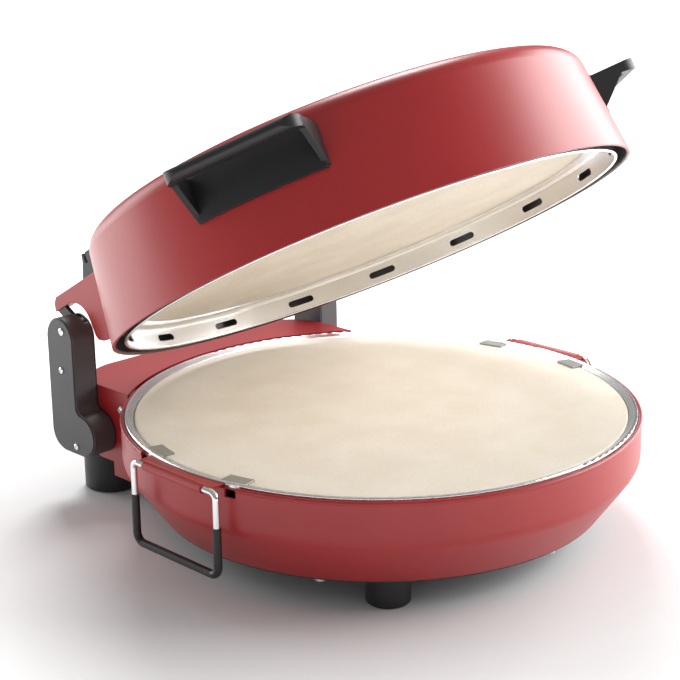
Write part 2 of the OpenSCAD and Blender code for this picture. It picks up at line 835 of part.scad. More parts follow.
module left_arm_cover() color("dimgray") on_base() on_side(-1) arm_cover();
module right_arm_cover() color("dimgray") on_base() on_side(1) arm_cover();

module arm_screws() color("white") on_base() for (s = [-1, 1]) on_side(s)
    for (p = arm_screw_at) in_arm(arm_out) translate(p) screw(arm_head_r, 1.2, arm_shank_r, arm_t);

module pivot_pins() color("white") on_base() for (s = [-1, 1]) on_side(s)
    in_arm(arm_out) translate([pivot_y, pivot_z]) screw(pin_r + 0.4, 1.2, pin_r, arm_t);

// Lid, drawn level and then tilted about the pins
module lid_shell() color("firebrick") on_lid() difference() {
    rotate_extrude() difference() {
        union() {
            polygon([
                [0, 0],
                [lid_r, 0],
                [round_r + lid_round * cos(cone_a), round_z + lid_round * sin(cone_a)],
                [round_r, round_z],
                [round_r, lid_h],
                [0, lid_h]
            ]);
            translate([round_r, round_z]) circle(r = lid_round);
        }
        difference() {
            union() {
                polygon([
                    [-eps, -eps],
                    [cone_r(-eps) - sheet / cos(cone_a), -eps],
                    [round_r + (lid_round - sheet) * cos(cone_a), round_z + (lid_round - sheet) * sin(cone_a)],
                    [round_r, round_z],
                    [round_r, lid_h - sheet],
                    [-eps, lid_h - sheet]
                ]);
                translate([round_r, round_z]) circle(r = lid_round - sheet);
            }
            // Rolled hem along the lower edge
            translate([lid_r - 1.5, 1.2]) circle(r = 1.2);
        }
    }
    for (s = [-1, 1], t = [-1, 1])
        rotate([0, 0, -90 + s * (90 - handle_turn)]) rotate([0, 0, t * handle_screw_turn])
            on_cone(0, handle_screw_z) translate([0, 0, -bore_l / 2]) cylinder(r = screw_bore_r, h = bore_l);
    for (s = [-1, 1]) on_side(s) for (z = lug_screw_z)
        on_cone(lug_screw_turn, z) translate([0, 0, -bore_l / 2]) cylinder(r = screw_bore_r, h = bore_l);
}

// Slotted band, cove and ledge in one pressing, with a bead along its lower edge
module lid_ring() color("gainsboro") on_lid() difference() {
    rotate_extrude() difference() {
        union() {
            translate([band_r - steel_t, ring_bead_r]) square([steel_t, band_h + steel_t - ring_bead_r]);
            translate([band_r - steel_t + ring_bead_r, ring_bead_r]) circle(r = ring_bead_r);
            translate([ledge_in_r, band_h - steel_t]) square([band_r - ledge_in_r - eps / 2, steel_t]);
            translate([band_r - eps / 2, band_h]) square([ring_flange_r - band_r + eps / 2, steel_t]);
            translate([band_r - steel_t / 2 - cove_r, band_h - cove_r]) square([cove_r, cove_r]);
        }
        translate([band_r - steel_t - cove_r, band_h - steel_t - cove_r]) circle(r = cove_r);
    }
    for (k = [0 : slots - 1]) rotate([0, 0, k * 360 / slots]) translate([band_r, 0, slot_z])
        rotate([0, 90, 0]) {
            cube([slot_h, slot_l - slot_h, 8], center = true);
            for (t = [-1, 1]) translate([0, t * (slot_l - slot_h) / 2, 0])
                cylinder(d = slot_h, h = 8, center = true);
        }
}

module lid_stone() color("tan") on_lid() translate([0, 0, band_h]) cylinder(r = lid_stone_r, h = lid_stone_t);

module lid_reflector() color("silver") on_lid() difference() {
    rotate_extrude() polygon([
        [0, dish_top - pan_t],
        [dish_r, dish_top - pan_t],
        [dish_r, dish_z],
        [ring_flange_r - 1, dish_z],
        [ring_flange_r - 1, dish_z + pan_t],
        [dish_r + pan_t, dish_z + pan_t],
        [dish_r + pan_t, dish_top],
        [0, dish_top]
    ]);
    leg_bores(lid_tube_z, dish_r - 5, dish_r + 5, 0.8);
}

module upper_element() color("dimgray") on_lid() element_loop(lid_tube_z, dish_r + 4);

module upper_element_clips() color("silver") on_lid()
    for (k = [0 : 2]) rotate([0, 0, -90 + 120 * k]) translate([loop_r, 0, lid_tube_z])
        mirror([0, 0, 1]) element_clip(tube_up);

module lid_insulation() color("khaki") on_lid()
    translate([0, 0, dish_top + fit]) cylinder(r = round_r - 4, h = lid_h - sheet - dish_top - 2 * fit);

// Lid handle, drawn towards +X
module handle_profile() {
    polygon([
        [lid_r - cheek_root + eps, cheek_low],
        [bar_out - bar_wide, bar_top - 2 * bar_r],
        [bar_out - bar_r, bar_top - 2 * bar_r],
        [bar_out - bar_r, bar_top],
        [lid_r - cheek_root + eps, bar_top - cheek_drop]
    ]);
    translate([bar_out - bar_r, bar_top - bar_r]) circle(r = bar_r);
}

module handle_plan(out, half, corner) {
    back = lid_r - cheek_root;
    translate([back, -half]) square([out - back - corner, 2 * half]);
    translate([back, corner - half]) square([out - back, 2 * (half - corner)]);
    for (s = [-1, 1]) translate([out - corner, s * (half - corner)]) circle(r = corner);
}

module lid_handle() difference() {
    union() {
        intersection() {
            rotate([90, 0, 0]) linear_extrude(handle_w, center = true) handle_profile();
            linear_extrude(lid_h) difference() {
                handle_plan(bar_out, handle_w / 2, handle_round);
                handle_plan(bar_out - bar_t, handle_w / 2 - cheek_t, handle_round - cheek_t);
            }
        }
        intersection() {
            cone_form(back_t);
            translate([0, -handle_w / 2 + 1, back_low])
                cube([2 * lid_r, handle_w - 2, back_high - back_low]);
        }
    }
    cone_form(0.05);
    for (t = [-1, 1]) rotate([0, 0, t * handle_screw_turn]) on_cone(0, handle_screw_z)
        translate([0, 0, -bore_l / 2]) cylinder(r = thread_r, h = bore_l / 2 + back_t - 0.6);
}

module handle_at(s) rotate([0, 0, -90 + s * (90 - handle_turn)]) children();

module left_lid_handle() color("black") on_lid() handle_at(-1) lid_handle();
module right_lid_handle() color("black") on_lid() handle_at(1) lid_handle();

module handle_screws() color("silver") on_lid() for (s = [-1, 1], t = [-1, 1])
    handle_at(s) rotate([0, 0, t * handle_screw_turn]) on_cone(0, handle_screw_z)
        translate([0, 0, -sheet - head_gap]) mirror([0, 0, 1])
            screw(head_r, head_t, thread_r - 0.1, sheet + back_t - 1);

// Lug: a thick plate from the lid's wall that passes over and in front of the pin
module lug_outline() difference() {
    polygon([
        [-lug_root, lug_top],
        [lug_tail - 6, lug_top],
        [lug_tail - 2, lug_top - 3],
        [lug_tail, tail_low],
        [0, tail_low],
        [0, 0],
        [-lug_back, 0],
        [-lug_back, -11],
        [-lug_back - 1.5, -14.5],
        [-lug_back - 7, lug_low],
        [-lug_root, lug_low]
    ]);
    circle(r = lug_clear);
}

module leaf_outline(grow) {
    circle(r = leaf_eye);
    rotate(leaf_angle) translate([0, -leaf_half - grow]) square([23, 2 * (leaf_half + grow)]);
    translate([-leaf_l - grow, leaf_low - grow])
        square([leaf_l + lug_tail - leaf_half + 2 * grow, leaf_high - leaf_low + 2 * grow]);
}

module at_pin(x) {
    translate([x, pivot_y, pin_lid_z]) rotate([90, 0, 90]) children();
}

module hinge_lug() difference() {
    at_pin(lug_x) linear_extrude(lug_t) lug_outline();
    at_pin(leaf_x - fit) linear_extrude(leaf_t + 2 * fit) leaf_outline(fit);
    cone_form(0.1);
    for (y = leaf_rivet_y) at_pin(lug_x - eps) translate([y, (leaf_low + leaf_high) / 2])
        cylinder(r = rivet_cap, h = leaf_x + leaf_t + fit - lug_x + eps);
    for (z = lug_screw_z) on_cone(lug_screw_turn, z) translate([0, 0, -bore_l / 2])
        cylinder(r = thread_r, h = bore_l / 2 + lug_screw_l + 0.4);
}

module left_hinge_lug() color("firebrick") on_lid() on_side(-1) hinge_lug();
module right_hinge_lug() color("firebrick") on_lid() on_side(1) hinge_lug();

module hinge_leaf() difference() {
    at_pin(leaf_x) linear_extrude(leaf_t) leaf_outline(0);
    at_pin(leaf_x - eps) cylinder(r = pin_r + run_gap, h = leaf_t + 2 * eps);
    for (y = leaf_rivet_y) at_pin(leaf_x - eps) translate([y, (leaf_low + leaf_high) / 2])
        cylinder(r = rivet_cap, h = leaf_t + 2 * eps);
}

module left_hinge_leaf() color("silver") on_lid() on_side(-1) hinge_leaf();
module right_hinge_leaf() color("silver") on_lid() on_side(1) hinge_leaf();

module leaf_rivets() color("silver") on_lid() for (s = [-1, 1]) on_side(s) for (y = leaf_rivet_y)
    at_pin(lug_x) translate([y, (leaf_low + leaf_high) / 2])
        cylinder(r = rivet_cap - 0.1, h = leaf_x + leaf_t - lug_x);

module lug_screws() color("silver") on_lid() for (s = [-1, 1]) on_side(s) for (z = lug_screw_z)
    on_cone(lug_screw_turn, z) translate([0, 0, -sheet - head_gap]) mirror([0, 0, 1])
        screw(head_r, head_t, thread_r - 0.1, sheet + lug_screw_l);

// Forked tab on top of each lug, beside the lid's wall
module lug_forks() color("gray") on_lid() for (s = [-1, 1]) on_side(s) difference() {
    at_pin(lug_x + fork_x) translate([0, lug_top]) linear_extrude(fork_t) polygon([
        [-lug_root, 0],
        [-fork_back, 0],
        [-fork_back - 6.5, fork_h * 2 / 3],
        [-fork_back - 8, fork_h],
        [-lug_root, fork_h]
    ]);
    at_pin(lug_x) translate([-notch_back, lug_top + notch_low])
        linear_extrude(lug_t) square([notch_w, fork_h]);
    cone_form(0.1);
}

base_shell();
base_plate();
base_plate_screws();
tray_rim();
baking_stone();
stone_clips();
base_reflector();
lower_element();
lower_element_clips();
rear_housing();
housing_cover();
housing_screws();
terminal_block();
thermostat();
pilot_lamp();
cord_gland();
front_feet();
rear_feet();
foot_screws();
left_bail_bracket();
right_bail_bracket();
left_hinge_bracket();
right_hinge_bracket();
left_arm_cover();
right_arm_cover();
arm_screws();
pivot_pins();
left_bail_wire();
left_bail_grip();
right_bail_wire();
right_bail_grip();
thermostat_knob();
lid_shell();
lid_ring();
lid_stone();
lid_reflector();
upper_element();
upper_element_clips();
lid_insulation();
left_lid_handle();
right_lid_handle();
handle_screws();
left_hinge_lug();
right_hinge_lug();
left_hinge_leaf();
right_hinge_leaf();
leaf_rivets();
lug_screws();
lug_forks();
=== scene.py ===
# %% [markdown]
# # An electric pizza maker
# The kitchen machine is a round red base with a baking stone, and a red lid that swings up on two
# black arms at the back. The solids come from the CAD model and stay as they are. This notebook gives
# them their surfaces, swaps a few small plain ones for finer forms, and sets up the picture.

# %% The frame
import math
import json
import bmesh
import numpy as np
import bpy
from mathutils import Matrix, Vector


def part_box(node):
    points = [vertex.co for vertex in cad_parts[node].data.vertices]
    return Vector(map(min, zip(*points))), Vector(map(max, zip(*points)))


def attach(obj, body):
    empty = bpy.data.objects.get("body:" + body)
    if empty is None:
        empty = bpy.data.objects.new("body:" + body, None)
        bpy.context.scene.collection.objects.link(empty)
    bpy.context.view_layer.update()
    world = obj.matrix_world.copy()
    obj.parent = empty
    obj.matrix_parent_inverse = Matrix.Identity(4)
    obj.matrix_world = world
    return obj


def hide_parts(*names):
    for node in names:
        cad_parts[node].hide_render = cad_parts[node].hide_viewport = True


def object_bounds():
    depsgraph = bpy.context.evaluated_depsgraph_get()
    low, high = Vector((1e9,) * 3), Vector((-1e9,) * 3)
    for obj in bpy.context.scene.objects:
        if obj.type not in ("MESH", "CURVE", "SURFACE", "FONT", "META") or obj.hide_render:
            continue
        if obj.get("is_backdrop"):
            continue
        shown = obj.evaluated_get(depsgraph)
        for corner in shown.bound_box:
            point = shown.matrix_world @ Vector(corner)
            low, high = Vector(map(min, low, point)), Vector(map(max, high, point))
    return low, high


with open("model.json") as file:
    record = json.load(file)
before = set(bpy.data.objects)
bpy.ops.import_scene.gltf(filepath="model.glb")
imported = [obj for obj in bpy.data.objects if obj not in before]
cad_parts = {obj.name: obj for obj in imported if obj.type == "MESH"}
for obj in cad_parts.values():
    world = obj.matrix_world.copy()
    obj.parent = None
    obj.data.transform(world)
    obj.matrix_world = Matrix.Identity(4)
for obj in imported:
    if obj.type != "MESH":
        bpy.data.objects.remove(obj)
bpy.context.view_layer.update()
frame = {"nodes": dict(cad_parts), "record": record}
solids = frame["nodes"]

# %% [markdown]
# ## The camera
# A long lens looks down on the machine from its front left, about a metre away. Its place and its
# direction come from the ellipses of the steel rim and of the lid's edge, so that both fall where the
# photograph shows them. A heading, an elevation and a small roll say the direction better than three
# Euler angles would, because each can be corrected by itself.

# %% Camera
EYE = Vector((-0.73146, -0.74190, 0.43013))
HEADING, ELEVATION, ROLL = math.radians(44.0696), math.radians(-16.7184), math.radians(-0.799)
LENS_MM = 88.82


def looking(heading, elevation, roll):
    """Rotation whose -Z looks along the heading (from +Y towards +X) and elevation, then rolls."""
    forward = Vector((math.cos(elevation) * math.sin(heading),
                      math.cos(elevation) * math.cos(heading), math.sin(elevation)))
    right = forward.cross(Vector((0, 0, 1))).normalized()
    up = right.cross(forward)
    right_r = right * math.cos(roll) + up * math.sin(roll)
    up_r = up * math.cos(roll) - right * math.sin(roll)
    return Matrix((right_r, up_r, -forward)).transposed()


lens = bpy.data.cameras.new("long_lens")
lens.sensor_width = 36
lens.lens = LENS_MM
lens.clip_start = 0.05
camera = bpy.data.objects.new("camera", lens)
camera.matrix_world = Matrix.Translation(EYE) @ looking(HEADING, ELEVATION, ROLL).to_4x4()
bpy.context.scene.collection.objects.link(camera)
bpy.context.scene.camera = camera
print("camera at", tuple(round(v, 3) for v in EYE))

# %% [markdown]
# ## Background
# Catalogue pictures of kitchen machines are taken in a white room. Rays from the camera see the room
# as plain white, and every other ray sees it dimmer, so that the room fills the shadows without
# bleaching the red. A world shader that asks what kind of ray it serves does this with three nodes.

# %% White room
ROOM_LIGHT = 0.34
world = bpy.data.worlds.new("white_room")
bpy.context.scene.world = world
world.use_nodes = True
tree = world.node_tree
tree.nodes.clear()
out = tree.nodes.new("ShaderNodeOutputWorld")
shade = tree.nodes.new("ShaderNodeBackground")
path = tree.nodes.new("ShaderNodeLightPath")
level = tree.nodes.new("ShaderNodeMapRange")
level.inputs["To Min"].default_value = ROOM_LIGHT
level.inputs["To Max"].default_value = 1.0
tree.links.new(path.outputs["Is Camera Ray"], level.inputs["Value"])
tree.links.new(level.outputs[0], shade.inputs["Strength"])
shade.inputs["Color"].default_value = (1, 1, 1, 1)
tree.links.new(shade.outputs[0], out.inputs["Surface"])
bpy.context.scene.view_settings.view_transform = "Standard"
print("room light", ROOM_LIGHT)

# %% [markdown]
# ## Lamps
# The drum-shaped shells show a dark middle and pale edges, because large soft lamps stand far round
# on both sides and behind. A square area lamp with a wide face makes such a broad, soft-edged
# reflection. The key lamp stands high behind the machine, which puts the shadow in front of it.

# %% Softboxes


def softbox(name, place, aim, size, watts):
    """A square area lamp at place that faces aim."""
    data = bpy.data.lights.new(name, "AREA")
    data.shape = "SQUARE"
    data.size = size
    data.energy = watts
    lamp = bpy.data.objects.new(name, data)
    lamp.matrix_world = Matrix.Translation(place) @ (
        Vector(aim) - Vector(place)).to_track_quat("-Z", "Y").to_matrix().to_4x4()
    bpy.context.scene.collection.objects.link(lamp)
    return lamp


softbox("key_box", (0.75, 0.95, 1.75), (0, 0, 0.05), 0.8, 30)
softbox("right_box", (1.35, -1.1, 0.85), (0, 0, 0.12), 1.1, 31)
softbox("right_rear_box", (1.85, -0.1, 0.75), (0, 0, 0.15), 1.1, 24)
softbox("left_rear_box", (-0.6, 1.75, 0.45), (0, 0, 0.15), 1.1, 14)
print("lamps:", len(bpy.data.lights))

# %% [markdown]
# ## Surfaces on a grid
# Every new shape here is a surface with two directions: rows and columns of points that four-sided
# faces join. The points are worked out as whole arrays, and where a direction runs back to its start,
# the last row joins the first. The floor is the simplest one, flat and not wrapped. It is marked as
# stage, so it isn't counted as part of the object.

# %% Floor


def mesh_from_grid(name, grid, wrap_u=False, wrap_v=False):
    """A mesh through a grid of points, or through a stack of grids of one size. Rows run along u
    and columns along v, and a wrapped direction is closed."""
    grid = grid.reshape(-1, *grid.shape[-3:])
    count, rows, cols = grid.shape[:3]
    index = np.arange(rows * cols).reshape(rows, cols)
    if wrap_u:
        index = np.vstack([index, index[:1]])
    if wrap_v:
        index = np.hstack([index, index[:, :1]])
    quads = np.stack([index[:-1, :-1], index[1:, :-1], index[1:, 1:], index[:-1, 1:]], -1)
    quads = quads.reshape(1, -1, 4) + rows * cols * np.arange(count).reshape(-1, 1, 1)
    mesh = bpy.data.meshes.new(name)
    mesh.from_pydata(grid.reshape(-1, 3).tolist(), [], quads.reshape(-1, 4).tolist())
    mesh.update()
    piece = bpy.data.objects.new(name, mesh)
    bpy.context.scene.collection.objects.link(piece)
    return piece


span = np.linspace(-3.5, 3.5, 15)
across, along = np.meshgrid(span, span)
floor = mesh_from_grid("paper_floor", np.stack([across, along, 0 * across], -1).transpose(1, 0, 2))
floor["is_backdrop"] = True
print("floor faces", len(floor.data.polygons))

# %% [markdown]
# ## Shader maths
# Patterns are sums and products of values that change over a surface. One small class wraps a socket,
# so that such a sum can be written as an expression, and each operator adds its Math node.

# %% Socket class


class Field:
    """A value or colour that changes over a surface: a socket and the tree that holds it."""

    def __init__(self, tree, socket):
        self.tree, self.socket = tree, socket

    def node(self, kind, settings=(), **inputs):
        """Adds a node, sets its settings, then its inputs by name or by number as _0, _1."""
        made = self.tree.nodes.new(kind)
        for key, value in dict(settings).items():
            setattr(made, key, value)
        for key, value in inputs.items():
            number = key[0] == "_"
            socket = made.inputs[int(key[1:]) if number else key.replace("_", " ")]
            if isinstance(value, Field):
                self.tree.links.new(value.socket, socket)
            else:
                socket.default_value = value
        return made

    def _math(self, operation, *values):
        made = self.node("ShaderNodeMath", {"operation": operation},
                         **{"_%d" % k: v for k, v in enumerate(values)})
        return Field(self.tree, made.outputs[0])

    def __add__(self, other): return self._math("ADD", self, other)
    def __radd__(self, other): return self._math("ADD", other, self)
    def __sub__(self, other): return self._math("SUBTRACT", self, other)
    def __rsub__(self, other): return self._math("SUBTRACT", other, self)
    def __mul__(self, other): return self._math("MULTIPLY", self, other)
    def __rmul__(self, other): return self._math("MULTIPLY", other, self)

    def step(self, low, high):
        """A smooth step: 0 below low, 1 above high."""
        made = self.node("ShaderNodeMapRange", {"interpolation_type": "SMOOTHSTEP"},
                         _0=self, _1=low, _2=high, _3=0.0, _4=1.0)
        return Field(self.tree, made.outputs[0])

    def mix(self, low, high):
        """A colour between two colours, by this value."""
        made = self.node("ShaderNodeMix", {"data_type": "RGBA"})
        self.tree.links.new(self.socket, made.inputs[0])
        for socket, value in ((made.inputs[6], low), (made.inputs[7], high)):
            if isinstance(value, Field):
                self.tree.links.new(value.socket, socket)
            else:
                socket.default_value = (*value, 1)
        return Field(self.tree, made.outputs[2])


# %% [markdown]
# A finish is one material: a Principled shader, the surface's own coordinates, and the two or three
# patterns that every finish here is made from. A bump may start from the Bevel node, which shades the
# sharp edges of the CAD solids as if they were slightly rounded.

# %% Finish class


class Finish:
    """A material with one Principled shader and the surface's own coordinates."""

    def __init__(self, name, colour, roughness, metallic=0.0, **constants):
        self.material = bpy.data.materials.new(name)
        self.material.use_nodes = True
        self.tree = self.material.node_tree
        self.shader = self.tree.nodes["Principled BSDF"]
        self.shader.inputs["Base Color"].default_value = (*colour, 1)
        self.shader.inputs["Roughness"].default_value = roughness
        self.shader.inputs["Metallic"].default_value = metallic
        for key, value in constants.items():
            self.shader.inputs[key.replace("_", " ")].default_value = value
        self.material.diffuse_color = (*colour, 1)
        place = self.tree.nodes.new("ShaderNodeTexCoord")
        self.place = Field(self.tree, place.outputs["Object"])
        self.facing = Field(self.tree, place.outputs["Normal"])

    def noise(self, scale, detail=2.0, rough=0.5, stretch=None):
        """Cloudy noise between 0 and 1, with features of about 1 / scale metres."""
        where = self.place
        if stretch:
            made = where.node("ShaderNodeMapping", {}, Vector=where, Scale=stretch)
            where = Field(self.tree, made.outputs[0])
        made = where.node("ShaderNodeTexNoise", {}, Vector=where, Scale=scale, Detail=detail,
                          Roughness=rough)
        return Field(self.tree, made.outputs[0])

    def inward(self, centre, tilt):
        """Above 0 where the surface faces the line through centre, tilted from Z about X."""
        made = self.place.node("ShaderNodeMapping", {"vector_type": "TEXTURE"}, Vector=self.place,
                               Location=centre, Rotation=(tilt, 0, 0))
        faces = self.place.node("ShaderNodeMapping", {"vector_type": "TEXTURE"}, Vector=self.facing,
                                Rotation=(tilt, 0, 0))
        flat = self.place.node("ShaderNodeVectorMath", {"operation": "MULTIPLY"},
                               _0=Field(self.tree, made.outputs[0]), _1=(1, 1, 0))
        dot = self.place.node("ShaderNodeVectorMath", {"operation": "DOT_PRODUCT"},
                              _0=Field(self.tree, flat.outputs[0]), _1=Field(self.tree, faces.outputs[0]))
        return 0.0 - Field(self.tree, dot.outputs["Value"])

    def cells(self, scale):
        """Distance to the nearest of a scatter of points, about 1 / scale metres apart."""
        made = self.place.node("ShaderNodeTexVoronoi", {}, Vector=self.place, Scale=scale)
        return Field(self.tree, made.outputs["Distance"])

    def feed(self, socket, value):
        self.tree.links.new(value.socket, self.shader.inputs[socket])

    def bump(self, height, distance, strength=1.0, soft=0.0):
        """Small relief, and rounded edges where soft gives their radius in metres."""
        extra = {}
        if soft:
            edge = self.place.node("ShaderNodeBevel", {"samples": 4}, Radius=soft)
            extra["Normal"] = Field(self.tree, edge.outputs[0])
        made = height.node("ShaderNodeBump", {}, Height=height, Distance=distance, Strength=strength,
                           **extra)
        self.feed("Normal", Field(self.tree, made.outputs[0]))


print("helpers: Field, Finish")

# %% [markdown]
# ## Enamel
# The shells are sheet steel with satin red enamel. Enamel is smooth at arm's length, and close up it
# has the faint ripple that painters call orange peel. Two noises give it: a fine one for the ripple
# and a broad one that shifts the gloss a little. A third noise shifts the red by a few percent, as
# pigment does in a thick coat.

# %% Red enamel
RED, DEEP_RED, PALE_RED = (0.37, 0.016, 0.018), (0.36, 0.015, 0.017), (0.39, 0.018, 0.020)


def satin_red(name):
    """Enamel with its ripple and gloss, and its slowly changing red as a value to use."""
    coat = Finish(name, RED, 0.36, Specular_IOR_Level=0.6)
    coat.bump(coat.noise(420, 2), 0.00002, 0.35, soft=0.0006)
    coat.feed("Roughness", 0.32 + 0.08 * coat.noise(9, 3))
    return coat, coat.noise(14, 3).step(0.3, 0.7).mix(DEEP_RED, PALE_RED)


enamel, red = satin_red("red_enamel")
enamel.feed("Base Color", red)
print("made", enamel.material.name)

# %% [markdown]
# The lid's shell is the one red piece whose inside can be seen, through the slots of the steel ring.
# Its inside is made near black with a little red, as painted shade for the dark seen through the slots.
# The sign of the product of the surface's direction and its place beside the lid's own axis tells inside
# from outside.

# %% Lid enamel
LID_MIDDLE, LID_TILT = (0.0, -0.00883, 0.18914), -math.asin(0.4909)
# painted shade: a near-black colour for the inside of the lid's shell, standing for the shade seen
# through the slots
INSIDE_SHADE = (0.02, 0.012, 0.012)
lid_enamel, red = satin_red("lid_enamel")
inside = lid_enamel.inward(LID_MIDDLE, LID_TILT).step(0.02, 0.04)
lid_enamel.feed("Base Color", inside.mix(red, INSIDE_SHADE))
print("made", lid_enamel.material.name)

# %% [markdown]
# ## Steel
# The rim and the slotted ring are polished steel with faint marks from the press. The brackets inside
# are plain zinc plate, which is duller and blotchier, and the stone's clips are darker still from the
# heat. All are one metal shader, with its roughness moved by a noise. The heating rods carry a dark
# oxide skin, so they are rough and nearly without colour.

# %% Steel
bright = Finish("bright_steel", (0.86, 0.86, 0.86), 0.22, 1.0)
bright.bump(bright.noise(300, 2, stretch=(1, 1, 12)), 0.00001, 0.3, soft=0.0004)
bright.feed("Roughness", 0.2 + 0.1 * bright.noise(60, 3))
plain = Finish("zinc_plate", (0.6, 0.6, 0.6), 0.45, 1.0)
plain.bump(plain.noise(500, 2), 0.00001, 0.4, soft=0.0003)
plain.feed("Roughness", 0.38 + 0.16 * plain.noise(40, 3))
tab_steel = Finish("grey_tab_steel", (0.42, 0.42, 0.41), 0.4, 0.8)
tab_steel.bump(tab_steel.noise(700, 2), 0.00001, 0.4, soft=0.0004)
tab_steel.feed("Roughness", 0.34 + 0.1 * tab_steel.noise(90, 3))
element_skin = Finish("element_sheath", (0.12, 0.11, 0.105), 0.55, 0.8)
element_skin.bump(element_skin.noise(900, 3), 0.00002, 0.5)
element_skin.feed("Base Color", element_skin.noise(60, 3).mix((0.09, 0.085, 0.08),
                                                              (0.16, 0.14, 0.13)))
black_steel = Finish("blackened_steel", (0.02, 0.02, 0.021), 0.45)
black_steel.bump(black_steel.noise(900, 2), 0.00001, 0.4, soft=0.0003)
black_steel.feed("Roughness", 0.4 + 0.12 * black_steel.noise(60, 3))
print("made", bright.material.name, plain.material.name, tab_steel.material.name)

# %% [markdown]
# The bails are bent from chromed wire. Chrome is the smoothest finish of the machine, and only a slow
# ripple from the bending and a trace of handling in the roughness keep it from looking like a mirror.

# %% Chrome
chrome_wire = Finish("chromed_wire", (0.82, 0.82, 0.83), 0.08, 1.0)
chrome_wire.bump(chrome_wire.noise(120, 2), 0.00002, 0.3)
chrome_wire.feed("Roughness", 0.06 + 0.07 * chrome_wire.noise(80, 2))
print("made", chrome_wire.material.name)

# %% [markdown]
# ## Stone
# The baking stone is pressed and fired clay with a warm, chalky face. Cordierite clay has fine dark
# and light grains, broad clouds from uneven firing, and pores that roughen it. Points scattered by a
# Voronoi texture make the grains, and a cloudy noise shifts the ground colour between them. The lid's
# lining is the same clay in darker and browner colours.

# %% Stones


def fired_clay(name, pale, warm, grain, scale):
    """Clay between two ground colours, with grains of a third colour scattered over it."""
    clay = Finish(name, pale, 0.85)
    ground = clay.noise(25, 4).step(0.3, 0.7).mix(warm, pale)
    clay.feed("Base Color", clay.cells(scale).step(0.1, 0.3).mix(grain, ground))
    clay.feed("Roughness", 0.78 + 0.12 * clay.noise(200, 3))
    clay.bump(clay.noise(1500, 3), 0.0001, 0.5)
    return clay


stone = fired_clay("baking_stone", (0.85, 0.79, 0.70), (0.80, 0.73, 0.62), (0.62, 0.52, 0.40), 900)
lining = fired_clay("lid_stone", (0.72, 0.65, 0.55), (0.65, 0.58, 0.48), (0.42, 0.34, 0.26), 700)
print("made", stone.material.name, lining.material.name)

# %% [markdown]
# ## Plastics
# Arms, feet and lid handles are moulded in heat-proof black plastic with a fine spark-eroded grain.
# The grain is a noise of about half a millimetre, and the Bevel node rounds every moulded edge. The
# sleeves on the bails are smoother, because they are extruded tube. The pilot lamp is clear amber.

# %% Plastics
black = Finish("black_plastic", (0.012, 0.012, 0.013), 0.42)
black.bump(black.noise(1600, 2), 0.00003, 0.35, soft=0.0008)
black.feed("Roughness", 0.38 + 0.12 * black.noise(50, 3))
grey = Finish("dark_grey_plastic", (0.075, 0.075, 0.077), 0.5)
grey.bump(grey.noise(1600, 2), 0.00003, 0.35, soft=0.0008)
grey.feed("Roughness", 0.45 + 0.1 * grey.noise(50, 3))
sleeve = Finish("black_sleeve", (0.01, 0.01, 0.01), 0.35)
sleeve.bump(sleeve.noise(900, 2), 0.00002, 0.3, soft=0.0006)
sleeve.feed("Roughness", 0.3 + 0.12 * sleeve.noise(70, 2))
lamp_lens = Finish("lamp_lens", (0.7, 0.16, 0.02), 0.15)
lamp_lens.bump(lamp_lens.noise(700, 1), 0.00002, 0.2)
lamp_lens.feed("Roughness", 0.12 + 0.08 * lamp_lens.noise(200, 2))
print("made", black.material.name, grey.material.name, sleeve.material.name, lamp_lens.material.name)

# %% [markdown]
# ## Ceramic and wool
# Inside are a glazed terminal block and a blanket of mineral wool. The wool is rough all over, so its
# relief is deep and its colour changes from tuft to tuft. The glaze only needs a slight waviness.

# %% Ceramic and wool
ceramic = Finish("ceramic", (0.8, 0.78, 0.72), 0.5)
ceramic.bump(ceramic.noise(800, 2), 0.00002, 0.4)
ceramic.feed("Roughness", 0.44 + 0.12 * ceramic.noise(120, 2))
wool = Finish("mineral_wool", (0.6, 0.54, 0.36), 0.95)
wool.bump(wool.noise(500, 5, 0.7), 0.0008, 0.8)
wool.feed("Base Color", wool.noise(200, 4).mix((0.5, 0.44, 0.28), (0.68, 0.62, 0.44)))
print("made", ceramic.material.name, wool.material.name)

# %% [markdown]
# ## Paper
# The floor is white paper. Close to the machine it takes the shadow as any paper does. Farther out it
# fades into the white of the room, which a glow that grows with the distance from the middle gives.

# %% Paper
paper = Finish("white_paper", (0.86, 0.86, 0.86), 0.7)
paper.feed("Roughness", 0.65 + 0.1 * paper.noise(8, 2))
length = paper.place.node("ShaderNodeVectorMath", {"operation": "LENGTH"}, _0=paper.place)
far = Field(paper.tree, length.outputs["Value"]).step(0.14, 0.75)
paper.feed("Emission Color", far.mix((0, 0, 0), (1, 1, 1)))
paper.shader.inputs["Emission Strength"].default_value = 1.0
floor.data.materials.append(paper.material)
print("made", paper.material.name)

# %% [markdown]
# ## Each solid takes its finish
# The record of the CAD model names a material slot for every node. A table from slot to finish is
# enough to dress them all. Two nodes differ from the others of their slot: the lid's shell, which is
# made near black inside as painted shade, and the forks, which are blackened.

# %% Solids and their slots
finishes = {
    "red_paint": enamel, "bright_steel": bright, "zinc_steel": plain, "grey_steel": tab_steel,
    "element_steel": element_skin, "black_steel": black_steel, "baking_stone": stone,
    "lid_stone": lining, "ceramic": ceramic, "black_plastic": black, "grey_plastic": grey,
    "lamp_plastic": lamp_lens, "chromed_wire": chrome_wire, "black_sleeve": sleeve,
    "mineral_wool": wool}
by_node = {"lid_shell": lid_enamel, "lug_forks": black_steel}
slot_of = {part["node"]: part["material_slot"] for part in frame["record"]["subparts"]}
for name, solid in solids.items():
    for k in range(len(solid.material_slots)):
        solid.material_slots[k].material = by_node.get(name, finishes[slot_of[name]]).material
print("finished solids:", len(slot_of))

